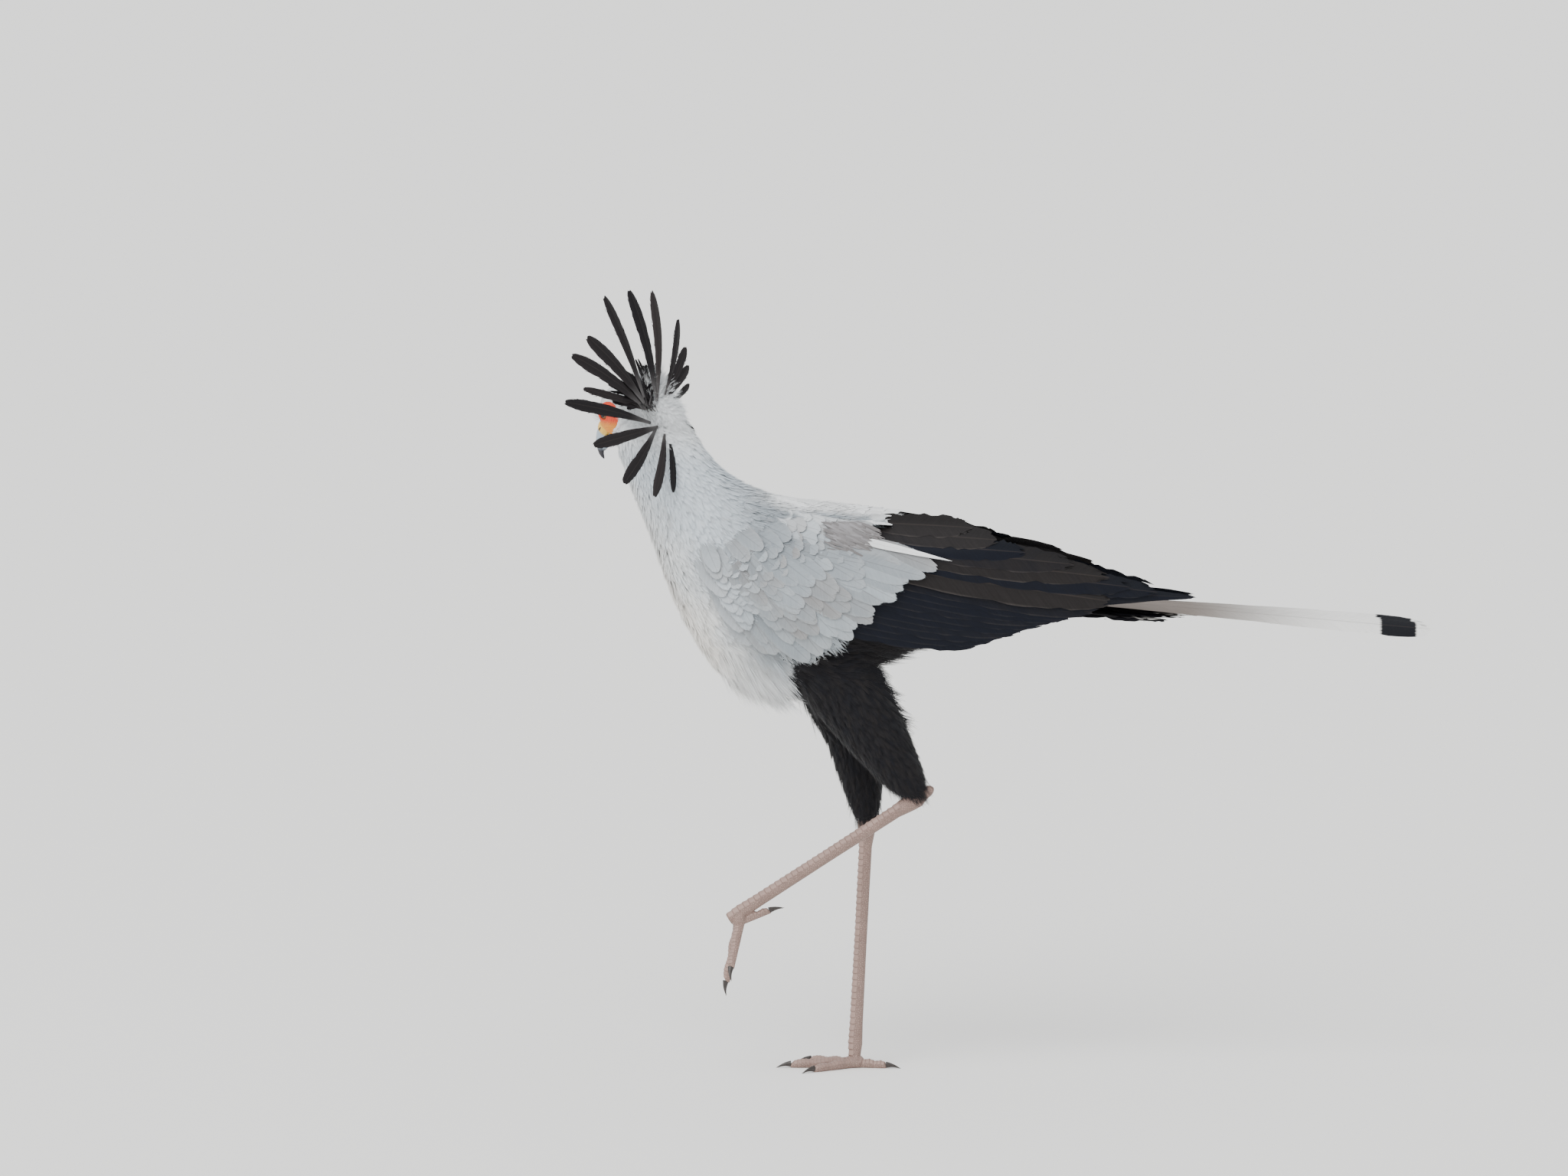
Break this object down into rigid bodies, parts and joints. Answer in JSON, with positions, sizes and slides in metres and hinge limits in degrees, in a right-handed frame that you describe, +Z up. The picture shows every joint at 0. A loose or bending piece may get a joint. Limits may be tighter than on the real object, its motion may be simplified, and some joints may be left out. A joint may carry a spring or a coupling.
{
  "type": "secretary bird",
  "caption": "Life-size still model of a secretary bird in mid stride, one leg lifted, head turned away, crest spread, wings folded and a long tail held out behind.",
  "frame": {"origin": "on the ground at the middle of the flat under the standing foot's pad", "axes": "+Z up, the bird walks towards -X and its left side is towards -Y, so its right side is towards +Y"},
  "size_m": [1.1697, 0.2506, 1.0658],
  "materials": {
    "body_plumage": "soft pale grey to white contour feathers",
    "flight_feathers": "blue-black vanes with a brown cast on the upper feathers",
    "crest_feathers": "black spatulate feathers rising from pale grey nape down",
    "tail_feathers": "pale grey-buff long feathers with a black band and white tips over black side feathers",
    "thigh_plumage": "soft black feathering",
    "face_skin": "bare orange-red skin with pale feathered crown and cheeks",
    "cere_skin": "waxy yellow",
    "bill_horn": "blue-grey horn, dark at the hook",
    "eye": "moist dark brown",
    "leg_scales": "pinkish buff horny scutes",
    "claw": "blunt dark horn"
  },
  "bodies": {
    "root": {"bill_lower": "bill_horn", "bill_upper": "bill_horn", "cere": "cere_skin", "claw_left_hind": "claw", "claw_left_inner": "claw", "claw_left_middle": "claw", "claw_left_outer": "claw", "claw_right_hind": "claw", "claw_right_inner": "claw", "claw_right_middle": "claw", "claw_right_outer": "claw", "crest": "crest_feathers", "eye_left": "eye", "eye_right": "eye", "foot_left": "leg_scales", "foot_right": "leg_scales", "head": "face_skin", "neck": "body_plumage", "tail": "tail_feathers", "tarsus_left": "leg_scales", "tarsus_right": "leg_scales", "thigh_left": "thigh_plumage", "thigh_right": "thigh_plumage", "toe_left_hind": "leg_scales", "toe_left_inner": "leg_scales", "toe_left_middle": "leg_scales", "toe_left_outer": "leg_scales", "toe_right_hind": "leg_scales", "toe_right_inner": "leg_scales", "toe_right_middle": "leg_scales", "toe_right_outer": "leg_scales", "torso": "body_plumage", "wing_left_coverts": "body_plumage", "wing_left_primaries": "flight_feathers", "wing_left_secondaries": "flight_feathers", "wing_right_coverts": "body_plumage", "wing_right_primaries": "flight_feathers", "wing_right_secondaries": "flight_feathers"}
  },
  "joints": []
}
